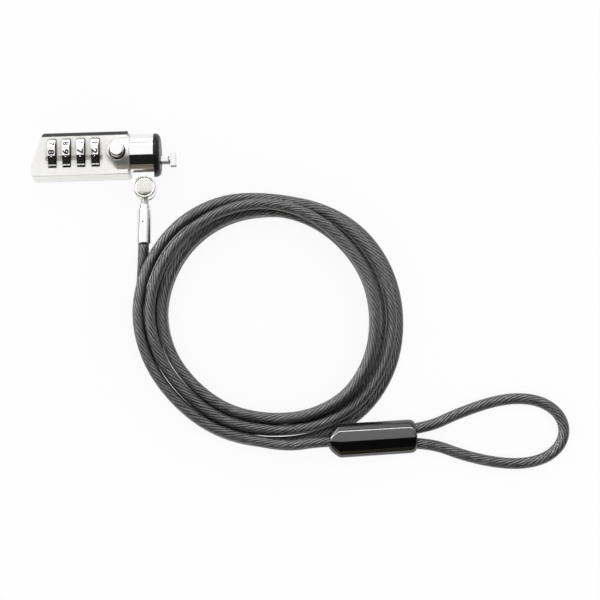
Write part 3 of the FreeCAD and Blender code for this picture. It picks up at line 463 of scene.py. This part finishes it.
def satin_silver():
    """Satin metal paint, brighter round the shoulder, with painted shade: darker in crevices, grey on the
    index groove's floor and in the button's pocket, and near black in the hollow behind the windows and
    on the journal inside the collar.
    """
    material, tree, surface = shader("satin_silver")
    noise = grain(tree, surface, scale=0.0005, rough=(0.27, 0.34), bump=0.06, relief=0.00004, edge=0.0007)
    place = split(tree, add(tree, "ShaderNodeTexCoord").outputs["Object"])
    hollow = within_box(tree, place, HOLLOW_BOX)
    journal = within_box(tree, place, JOURNAL_BOX)
    groove = within_box(tree, place, GROOVE_BOX)
    along = maths(tree, "SUBTRACT", place[0], BUTTON_PLACE * MM)
    square = maths(tree, "MULTIPLY", place[1], place[1])
    reach = maths(tree, "SQRT", maths(tree, "MULTIPLY_ADD", along, along, square))
    pocket = maths(tree, "LESS_THAN", reach, POCKET_RADIUS * MM)
    silver = mixed(tree, noise, SILVER_LOW, SILVER_HIGH)
    # Painted shade: darker in crevices
    silver = mixed(tree, openness(tree, CREVICE_REACH), CREVICE_SHADE, silver)
    # Painted shade: grey on the index groove's floor and in the button's pocket
    silver = mixed(tree, maths(tree, "MAXIMUM", groove, pocket), silver, GROOVE_SHADE)
    # Painted shade: near black in the hollow behind the windows, apart from the groove, and on the
    # journal inside the collar, which also take no metal
    dark = maths(tree, "MAXIMUM", maths(tree, "SUBTRACT", hollow, groove), journal)
    tree.links.new(mixed(tree, dark, silver, grey(HOLLOW_SHADE_LEVEL)), surface.inputs["Base Color"])
    metal = mapped(tree, place[0], (FACE_END, SHOULDER_START), (FACE_METAL, SHOULDER_METAL), "SMOOTHSTEP")
    plain = maths(tree, "SUBTRACT", 1.0, dark)
    tree.links.new(maths(tree, "MULTIPLY", metal, plain), surface.inputs["Metallic"])
    return material


DISC_LOW = (0.62, 0.6, 0.56, 1)
DISC_HIGH = (0.9, 0.89, 0.86, 1)


def disc_metal():
    """Polished metal with the fine unevenness of a stamped disc."""
    return grained(
        "stamped_disc", DISC_LOW, DISC_HIGH,
        scale=0.0009, rough=(0.16, 0.3), bump=0.5, relief=0.00012, edge=0.00015, Metallic=1.0)


def polished(name, edge=0.00015):
    """Bright polished plating."""
    return grained(
        name, grey(0.86), grey(0.91),
        scale=0.004, rough=(0.03, 0.07), bump=0.015, relief=0.0001, edge=edge, Metallic=1.0)


# Painted shade on the bar's faces that turn towards -Y: its level, and how far towards -Y a face must
# turn to take it
BAR_SIDE_SHADE = 0.05
BAR_SIDE_FACING = -0.5


def polished_bar():
    """Polished metal with painted shade on the faces that turn towards -Y."""
    material, tree, surface = shader("polished_bar", Metallic=1.0)
    noise = grain(tree, surface, scale=0.002, rough=(0.08, 0.16), bump=0.03, relief=0.00005, edge=0.00015)
    facing = split(tree, add(tree, "ShaderNodeTexCoord").outputs["Normal"])
    side = maths(tree, "LESS_THAN", facing[1], BAR_SIDE_FACING)
    bright = mixed(tree, noise, grey(0.78), grey(0.86))
    # Painted shade on the faces that turn towards -Y
    tree.links.new(mixed(tree, side, bright, grey(BAR_SIDE_SHADE)), surface.inputs["Base Color"])
    return material


def black_trim():
    """Gloss black moulding, for the strip, and for the dark ring that paints the shadow in the seam at
    the collar.
    """
    return grained(
        "black_trim", grey(0.016), grey(0.03),
        scale=0.0004, rough=(0.3, 0.42), bump=0.06, relief=0.00004, edge=0.0003,
        Coat_Weight=0.4, Coat_Roughness=0.15)


def cap_black():
    """The duller black of the end cap."""
    return grained(
        "cap_black", grey(0.005), grey(0.01),
        scale=0.0004, rough=(0.3, 0.4), bump=0.06, relief=0.00004, edge=0.0003, Specular_IOR_Level=0.3)


def plain_steel(name, level, rough):
    """Unpolished metal at one level of grey and roughness."""
    return grained(
        name, grey(level * 0.94), grey(level),
        scale=0.001, rough=(rough, rough + 0.1), bump=0.05, relief=0.00005, Metallic=1.0)


def inner_plastic():
    """Matte dark plastic, inside the lock."""
    return grained(
        "inner_plastic", grey(0.04), grey(0.055),
        scale=0.0006, rough=(0.45, 0.6), bump=0.1, relief=0.00005)


BRASS_LOW = (0.7, 0.53, 0.25, 1)
BRASS_HIGH = (0.78, 0.61, 0.31, 1)
# Painted shade where the brass is shut in: its level, how far the ambient shade looks, and how steeply it
# comes in
BRASS_SHADE = 0.01
BRASS_REACH = 0.004
BRASS_FALL = 4.0


def brass():
    """Turned brass, with painted shade where it is shut in."""
    material, tree, surface = shader("brass", Metallic=1.0)
    noise = grain(tree, surface, scale=0.001, rough=(0.2, 0.3), bump=0.05, relief=0.00005)
    bright = mixed(tree, noise, BRASS_LOW, BRASS_HIGH)
    # Painted shade: dark where the brass is shut in
    open_share = maths(tree, "POWER", openness(tree, BRASS_REACH), BRASS_FALL)
    tree.links.new(mixed(tree, open_share, grey(BRASS_SHADE), bright), surface.inputs["Base Color"])
    return material


def digit_ink():
    """The digits' matte black."""
    return grained(
        "digit_ink", grey(0.012), grey(0.03),
        scale=0.0003, rough=(0.4, 0.6), bump=0.1, relief=0.00002, Specular_IOR_Level=0.25)


def sleeve_black():
    """Gloss black with strong reflections."""
    return grained(
        "sleeve_rubber", grey(0.001), grey(0.003),
        scale=0.002, rough=(0.05, 0.09), bump=0.01, relief=0.00006, IOR=2.0)


ROPE_STRANDS = 11
ROPE_LAY = 0.0296
# Painted shade in the grooves between the strands, as the base colour there
STRAND_GAP_SHADE = 0.004
STRAND_LIGHT = 0.22
WIRES_IN_STRAND = 2.5
WIRE_STREAK = 0.003
WIRE_DETAIL = 3
WIRE_HEIGHT = 1.2
WIRE_MIDDLE = 0.75
STRAND_ROUGH = (0.25, 0.4)
STRAND_HEIGHT = 0.0003


def rope():
    """Steel strands under a clear sheath. The sheath is the smooth coat, and the strands below it
    are a helix in the tube's UV, round across, with painted shade in the grooves between them."""
    material, tree, surface = shader("sheathed_rope", Metallic=1.0, Coat_Weight=0.25, Coat_Roughness=0.12)
    along, around, _ = split(tree, add(tree, "ShaderNodeUVMap", uv_map="UVMap").outputs["UV"])
    turns = maths(tree, "DIVIDE", along, ROPE_LAY)
    winding = maths(tree, "MULTIPLY", maths(tree, "ADD", around, turns), ROPE_STRANDS)
    share = maths(tree, "FRACT", winding)
    offset = maths(tree, "ABSOLUTE", maths(tree, "MULTIPLY_ADD", share, 2.0, -1.0))
    crown = maths(tree, "SQRT", maths(tree, "SUBTRACT", 1.0, maths(tree, "POWER", offset, 2.0)))

    wires = add(tree, "ShaderNodeCombineXYZ")
    tree.links.new(maths(tree, "MULTIPLY", winding, WIRES_IN_STRAND), wires.inputs["X"])
    tree.links.new(maths(tree, "DIVIDE", along, WIRE_STREAK), wires.inputs["Y"])
    noise = add(tree, "ShaderNodeTexNoise")
    feed(tree, noise, (("Vector", wires.outputs["Vector"]), ("Scale", 1), ("Detail", WIRE_DETAIL)))
    relief = maths(tree, "MULTIPLY_ADD", noise.outputs["Fac"], WIRE_HEIGHT, crown)
    relief = maths(tree, "SUBTRACT", relief, WIRE_MIDDLE)

    # Painted shade: darker towards the grooves between strands, and uneven along the wires
    colour = mixed(tree, relief, grey(STRAND_GAP_SHADE), grey(STRAND_LIGHT))
    tree.links.new(colour, surface.inputs["Base Color"])
    rough = mapped(tree, noise.outputs["Fac"], (0, 1), STRAND_ROUGH)
    tree.links.new(rough, surface.inputs["Roughness"])
    bump = add(tree, "ShaderNodeBump")
    feed(tree, bump, (("Strength", 1.0), ("Distance", STRAND_HEIGHT), ("Height", relief)))
    tree.links.new(bump.outputs["Normal"], surface.inputs["Normal"])
    return material


# Looks of the kept nodes, and the pieces that share their metals

def paint(material, *names):
    """Gives kept nodes a material in all their slots."""
    for name in names:
        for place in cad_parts[name].material_slots:
            place.material = material


def dress_lock():
    """Paints the lock's kept nodes and makes the pieces that take the others' places."""
    chrome = polished("polished")
    dark_steel = plain_steel("dark_steel", 0.45, 0.2)
    spring_steel = plain_steel("spring_steel", 0.6, 0.25)
    inner_steel = plain_steel("inner_steel", 0.55, 0.3)
    trim = black_trim()
    paint(satin_silver(), "housing", "back_plate")
    paint(trim, "side_cover")
    paint(cap_black(), "end_cap")
    paint(dark_steel, "back_plate_screws", "side_cover_screws")
    paint(inner_plastic(), "dial_cradle")
    paint(spring_steel, "detent_springs", "bar_clip")
    make_spring("button_spring", 2, BUTTON_SPRING_TURNS, spring_steel)
    make_spring("spindle_spring", 0, SPINDLE_SPRING_TURNS, spring_steel)
    paint(inner_steel, "spindle", "button_slider", "bar_pinion", "swivel_pin")
    paint(brass(), *[f"code_wheel_{dial + 1}" for dial in range(len(READING))])
    paint(chrome, "swivel_collar", "knuckle_rivet", "cable_eye", "ferrule")
    paint(polished_bar(), "locking_bar", "slot_guide")
    paint(plain_steel("crimp_metal", 0.7, 0.3), "crimp_barrel")
    make_rings(polished("ring_metal", edge=0.0))
    make_button(chrome)
    make_badge(disc_metal())
    # A dark ring as painted shade in the seam between the shoulder and the collar
    make_washer(trim)


# Number rings, in millimetres, each with ten flats between notched ribs, and a digit on each flat

DIAL_AXIS = Vector((0, 0.8, 2.4))
FIRST_DIAL = -43.0
DIAL_PITCH = 5.76
DIAL_TURN = 0.8
DIGITS = 10
READING = (8, 9, 7, 2)
RING_WIDTH = 2.9
RING_SHIFT = -0.1
RING_CORNER = 6.45
RING_BORE = 4.6
KEY_BORE = 5.1
KEY_HALF = 0.5
RIB_RADIUS = 6.52
RIB_LAND = 0.26
RIB_FOOT = 0.32
NOTCH_RADIUS = 6.3
NOTCH_HALF = 0.2
WELD = 0.0001

# A digit's height and greatest width, how much wider than the font's it is at most, how far it
# stands proud, how much bolder it is, and how far below its flat's middle it sits
DIGIT_HEIGHT = 2.45
DIGIT_WIDTH = 2.15
DIGIT_STRETCH = 1.35
DIGIT_PROUD = 0.03
DIGIT_BOLD = 0.04
DIGIT_LOW = 0.35


def ring_outline(top):
    """A ring's outline round the dial's axis, with its ribs' lands at one radius."""
    half = math.pi / DIGITS
    outline = []
    for corner in range(DIGITS):
        middle = math.radians(DIAL_TURN) + half * (2 * corner + 1)
        out = Vector((-math.sin(middle), math.cos(middle)))
        beside = Vector((-math.cos(middle), -math.sin(middle)))
        slope = math.tan(half)
        land = min(top, math.sqrt(RIB_RADIUS ** 2 - RIB_LAND ** 2))
        foot = RING_CORNER - RIB_FOOT * slope
        for side, height in ((-RIB_FOOT, foot), (-RIB_LAND, land), (RIB_LAND, land), (RIB_FOOT, foot)):
            outline.append(out * height + beside * side)
    return outline


def ring_bore(outline):
    """The points on the bore that face an outline's, with two keyways."""
    bore = []
    for point in outline:
        inward = point.normalized()
        keyed = abs(inward.x) * RING_BORE < KEY_HALF
        bore.append(inward * (KEY_BORE if keyed else RING_BORE))
    return bore


def make_rings(metal):
    """The number rings, with their ribs notched round the middle."""
    for dial in range(len(READING)):
        middle = FIRST_DIAL + dial * DIAL_PITCH + RING_SHIFT
        whole = ring_outline(RIB_RADIUS)
        notched = ring_outline(NOTCH_RADIUS)
        bore = ring_bore(whole)
        low, high = -RING_WIDTH / 2, RING_WIDTH / 2
        stations = [
            (low, bore), (low, whole), (-NOTCH_HALF, whole), (-NOTCH_HALF, notched),
            (NOTCH_HALF, notched), (NOTCH_HALF, whole), (high, whole), (high, bore), (low, bore),
        ]
        rings = []
        for place, outline in stations:
            rings.append([DIAL_AXIS + Vector((middle + place, *point)) for point in outline])
        build = bmesh.new()
        skin(build, rings, closed=False)
        bmesh.ops.remove_doubles(build, verts=build.verts, dist=WELD)
        bmesh.ops.recalc_face_normals(build, faces=build.faces)
        piece = mesh_piece(f"number_ring_{dial + 1}", build, metal, soft=False)
        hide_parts(f"dial_{dial + 1}")
        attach(piece, f"dial_{dial + 1}")


def digit_mesh(digit):
    """A digit's flat outline as a mesh, centred, in millimetres."""
    data = bpy.data.curves.new("digit", "FONT")
    data.body = str(digit)
    data.extrude = DIGIT_PROUD
    data.offset = DIGIT_BOLD
    letter = bpy.data.objects.new("digit", data)
    mesh = bpy.data.meshes.new_from_object(letter)
    bpy.data.objects.remove(letter)
    wide = [vertex.co.x for vertex in mesh.vertices]
    tall = [vertex.co.y for vertex in mesh.vertices]
    rise = DIGIT_HEIGHT / (max(tall) - min(tall))
    reach = min(rise * DIGIT_STRETCH, DIGIT_WIDTH / (max(wide) - min(wide)))
    middle = Vector(((max(wide) + min(wide)) / 2, (max(tall) + min(tall)) / 2, 0))
    mesh.transform(Matrix.Diagonal((reach, rise, 1, 1)) @ Matrix.Translation(-middle))
    return mesh


def make_digits():
    """The digits, flat on the rings' faces and a little proud of them."""
    ink = digit_ink()
    for dial, reading in enumerate(READING):
        build = bmesh.new()
        for digit in range(DIGITS):
            angle = math.radians(DIAL_TURN + 360 / DIGITS * (digit - reading))
            out = Vector((0, -math.sin(angle), math.cos(angle)))
            ahead = Vector((0, -math.cos(angle), -math.sin(angle)))
            turn = Matrix((ahead, Vector((1, 0, 0)), out)).transposed().to_4x4()
            flat = RING_CORNER * math.cos(math.pi / DIGITS)
            centre = Vector((FIRST_DIAL + dial * DIAL_PITCH + RING_SHIFT, 0, 0)) + DIAL_AXIS
            centre += out * flat + ahead * DIGIT_LOW
            mesh = digit_mesh(digit)
            mesh.transform(Matrix.Scale(MM, 4) @ Matrix.Translation(centre) @ turn)
            build.from_mesh(mesh)
            bpy.data.meshes.remove(mesh)
        data = bpy.data.meshes.new(f"digits_{dial + 1}")
        build.to_mesh(data)
        build.free()
        data.materials.append(ink)
        piece = linked(bpy.data.objects.new(f"digits_{dial + 1}", data))
        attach(piece, f"dial_{dial + 1}")


# Push button, in millimetres, with heights over the lock's axis

BUTTON_SHIFT = 0.2
BUTTON_STRETCH = 1.12
BUTTON_DOME = [(CORE, 12.8), (1.0, 12.78), (1.7, 12.74)]
BUTTON_RADIUS = 2.8
BUTTON_RIM = 12.7
BUTTON_ROUND = 0.8
BUTTON_FOOT = 7.7
SHANK_ACROSS = 0.9
SHANK_RADIUS = 0.95
SHANK_FOOT = 3.0
SHANK_TOP = 7.8


def make_button(chrome):
    """An oval push button with a rounded rim and a barely domed top, on its round shank."""
    build = bmesh.new()
    edge = corner_round(BUTTON_RADIUS, BUTTON_RIM, BUTTON_ROUND)
    crown = BUTTON_DOME + edge + [(BUTTON_RADIUS, BUTTON_FOOT), (CORE, BUTTON_FOOT)]
    lathe(build, crown[::-1], (BUTTON_PLACE + BUTTON_SHIFT, 0), BUTTON_STRETCH)
    shank = [(CORE, SHANK_FOOT), (SHANK_RADIUS, SHANK_FOOT), (SHANK_RADIUS, SHANK_TOP), (CORE, SHANK_TOP)]
    lathe(build, shank, (BUTTON_PLACE, SHANK_ACROSS))
    piece = mesh_piece("push_button", build, chrome)
    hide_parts("button")
    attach(piece, "button")


# Disc in the knuckle's upper ear, in millimetres: its rim as (radius, height) pairs, and its face

BADGE_RIM = [
    (CORE, 3.3), (4.3, 3.3), (4.56, 3.45), (4.56, 3.75), (4.48, 3.98), (4.3, 4.13), (4.08, 4.18),
    (3.88, 4.13), (3.74, 3.98), (3.66, 3.96),
]
BADGE_FACE = 3.5
BADGE_TOP = 4.45
BADGE_DOME = 0.034
BADGE_STEPS = 8


def make_badge(metal):
    """The plain disc in the knuckle's upper ear, with a rolled rim and a groove inside it."""
    build = bmesh.new()
    face = []
    for step in range(BADGE_STEPS + 1):
        radius = BADGE_FACE * (1 - step / BADGE_STEPS) + CORE
        face.append((radius, BADGE_TOP - BADGE_DOME * radius ** 2))
    lathe(build, BADGE_RIM + face, KNUCKLE_PLACE)
    piece = mesh_piece("knuckle_disc", build, metal)
    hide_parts("knuckle_badge")
    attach(piece, "collar")


# A dark ring between the shoulder and the collar, in millimetres: painted shade for the shadow in the
# seam between them

SHADE_RING_PLACE = -12.0
SHADE_RING_HALF = 0.16
SHADE_RING_BORE = 7.2
SHADE_RING_RADIUS = 8.79
SHADE_RING_EDGE = (0.05, 0.06)


def make_washer(trim):
    """A thin dark ring round the lock's axis, with its outer edges eased: painted shade for the seam
    between the shoulder and the collar.
    """
    ease_out, ease_along = SHADE_RING_EDGE
    low, high = SHADE_RING_PLACE - SHADE_RING_HALF, SHADE_RING_PLACE + SHADE_RING_HALF
    flat = SHADE_RING_RADIUS - ease_out
    profile = [
        (SHADE_RING_BORE, low), (flat, low), (SHADE_RING_RADIUS, low + ease_along),
        (SHADE_RING_RADIUS, high - ease_along), (flat, high), (SHADE_RING_BORE, high),
    ]
    build = bmesh.new()
    lathe(build, profile, (0, 0))
    build.transform(Matrix.Rotation(math.pi / 2, 4, "Y"))
    piece = mesh_piece("collar_shade_ring", build, trim)
    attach(piece, "lock_body")


# Coil springs

WIRE_RADIUS = 0.15 * MM
BUTTON_SPRING_TURNS = 5
SPINDLE_SPRING_TURNS = 4
POINTS_PER_TURN = 20
WIRE_SIDES = 8


def make_spring(node, along, turns, material):
    """A coil spring that fills its node's box along one axis, fixed at its low end."""
    low, high = [Vector(corner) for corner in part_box(node)]
    beside, above = [axis for axis in range(3) if axis != along]
    radius = (high[beside] - low[beside]) / 2 - WIRE_RADIUS
    length = high[along] - low[along]
    line = []
    for count in range(turns * POINTS_PER_TURN + 1):
        share = count / (turns * POINTS_PER_TURN)
        angle = 2 * math.pi * turns * share
        point = (low + high) / 2
        point[along] = low[along] + WIRE_RADIUS + share * (length - 2 * WIRE_RADIUS)
        point[beside] += radius * math.cos(angle)
        point[above] += radius * math.sin(angle)
        line.append(point)
    piece = sweep(f"{node}_coil", line, WIRE_RADIUS, material, WIRE_SIDES)
    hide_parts(node)
    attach(piece, "lock_body")
    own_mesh(piece)


# Moulded sleeve, in millimetres: stations along it as (place, half width, half thickness)

SLEEVE_STATIONS = [
    (-17.5, 2.4, 2.85), (-17.45, 2.8, 2.95), (-17.2, 3.3, 3.1), (-16.6, 4.1, 3.4), (-15.6, 5.1, 3.8),
    (-14.4, 6.05, 4.02), (-13.8, 6.45, 4.1), (-13.0, 6.68, 4.15), (-12.0, 6.7, 4.2), (14.6, 6.7, 4.2),
    (15.7, 6.62, 4.15), (16.6, 6.35, 4.0), (17.2, 5.9, 3.7), (17.46, 5.4, 3.4), (17.5, 4.9, 3.0),
]
SLEEVE_SIDES = 72
SLEEVE_FULLNESS = 1.8
SLEEVE_UNDERSIDE = 0.8


def make_sleeve():
    """The gloss moulding over the crimp: an oval bar, tapered in where the cable enters."""
    build = bmesh.new()
    power = 2 / SLEEVE_FULLNESS
    rings = []
    for place, wide, thick in SLEEVE_STATIONS:
        ring = []
        for side in range(SLEEVE_SIDES):
            angle = 2 * math.pi * side / SLEEVE_SIDES
            across, up = math.cos(angle), math.sin(angle)
            depth = thick if up > 0 else thick * SLEEVE_UNDERSIDE
            point = on_sleeve((
                place,
                math.copysign(abs(across) ** power * wide, across),
                math.copysign(abs(up) ** power * depth, up),
            ))
            ring.append(CABLE_ORIGIN @ CABLE_TURN @ point)
        rings.append(ring)
    skin(build, rings)
    bmesh.ops.recalc_face_normals(build, faces=build.faces)
    piece = mesh_piece("sleeve", build, sleeve_black())
    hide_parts("sleeve_cover")
    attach(piece, "cable_end")
    return piece


# Floor and world

FLOOR_HALF = 3.0
FLOOR_GLOW = 0.9


def seen_or_mirrored(tree):
    """1 for what the camera sees, straight or in a reflection or through glass."""
    path = add(tree, "ShaderNodeLightPath")
    either = maths(tree, "MAXIMUM", path.outputs["Is Camera Ray"], path.outputs["Is Glossy Ray"])
    return maths(tree, "MAXIMUM", either, path.outputs["Is Transmission Ray"])


def make_floor():
    """A pale sheet at the object's foot, which glows only where it is seen."""
    level = cad_box[0].z
    corners = [(-1, -1), (1, -1), (1, 1), (-1, 1)]
    data = bpy.data.meshes.new("floor")
    data.from_pydata([(x * FLOOR_HALF, y * FLOOR_HALF, level) for x, y in corners], [], [(0, 1, 2, 3)])
    material, tree, surface = shader("floor", Base_Color=grey(0.95), Roughness=0.9)
    white = add(tree, "ShaderNodeEmission")
    blend = add(tree, "ShaderNodeMixShader")
    share = maths(tree, "MULTIPLY", seen_or_mirrored(tree), FLOOR_GLOW)
    tree.links.new(share, blend.inputs["Fac"])
    tree.links.new(surface.outputs["BSDF"], blend.inputs[1])
    tree.links.new(white.outputs["Emission"], blend.inputs[2])
    tree.links.new(blend.outputs["Shader"], tree.nodes["Material Output"].inputs["Surface"])
    data.materials.append(material)
    floor = linked(bpy.data.objects.new("floor", data))


# The studio, as levels at degrees from straight up: towards the back, and towards the right.
# A long white sheet hangs over the object and ends in front of it, at a black card. The sheet has
# a bright strip in it, towards the back, and below the card lies a brownish one.
BROWN = (0.17, 0.147, 0.107, 1)
DEPTH_LEVELS = [
    (-90, BROWN), (-62, BROWN), (-60, grey(0.012)), (-9, grey(0.012)), (-6, grey(1.1)),
    (49.5, grey(1.1)), (50, grey(10)), (52.9, grey(10)), (53, grey(0.45)), (58, grey(0.45)),
    (60, grey(1.1)), (90, grey(1.1)),
]
WIDTH_LEVELS = [
    (-90, grey(0.2)), (-76, grey(0.15)), (-70, grey(0.9)), (-62, grey(1)), (-60, grey(3)),
    (-42, grey(3)), (-40, grey(1)), (38, grey(1)), (43, grey(0.8)), (60, grey(0.5)),
    (80, grey(0.28)), (90, grey(0.27)),
]
PLAIN_LEVEL = 0.97


def levels(tree, side, up, stops):
    """A ramp of levels by the angle from straight up towards one side."""
    angle = maths(tree, "ARCTAN2", side, up)
    share = maths(tree, "MULTIPLY_ADD", angle, 1 / math.pi, 0.5)
    ramp = add(tree, "ShaderNodeValToRGB")
    tree.links.new(share, ramp.inputs["Fac"])
    stripes = ramp.color_ramp.elements
    while len(stripes) < len(stops):
        stripes.new(0.5)
    for stripe, (degrees, colour) in zip(stripes, stops):
        stripe.position = degrees / 180 + 0.5
        stripe.color = colour
    return ramp.outputs["Color"]


def make_world():
    """The studio's levels for reflections, a plain one for all other light, and white to the camera."""
    world = bpy.data.worlds.new("studio")
    world.use_nodes = True
    bpy.context.scene.world = world
    tree = world.node_tree
    right, back, up = split(tree, add(tree, "ShaderNodeTexCoord").outputs["Generated"])
    depth = levels(tree, back, up, DEPTH_LEVELS)
    width = levels(tree, right, up, WIDTH_LEVELS)
    studio = mixed(tree, 1.0, depth, width, "MULTIPLY")
    path = add(tree, "ShaderNodeLightPath")
    light = mixed(tree, path.outputs["Is Glossy Ray"], grey(PLAIN_LEVEL), studio)
    seen = mixed(tree, path.outputs["Is Camera Ray"], light, grey(1.0))
    tree.links.new(seen, tree.nodes["Background"].inputs["Color"])


make_camera()

rope_look = rope()
cable_line = nurbs_line(cable_points(), steps=6)
cable = sweep("cable", cable_line, CABLE_RADIUS * MM, rope_look)
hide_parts("security_cable")
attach(cable, "cable_end")

loop_line = nurbs_line(loop_points(), steps=12)
loop = sweep("loop", loop_line, CABLE_RADIUS * MM, rope_look)
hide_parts("anchor_loop")
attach(loop, "cable_end")

sleeve = make_sleeve()

dress_lock()
make_digits()
make_floor()
make_world()
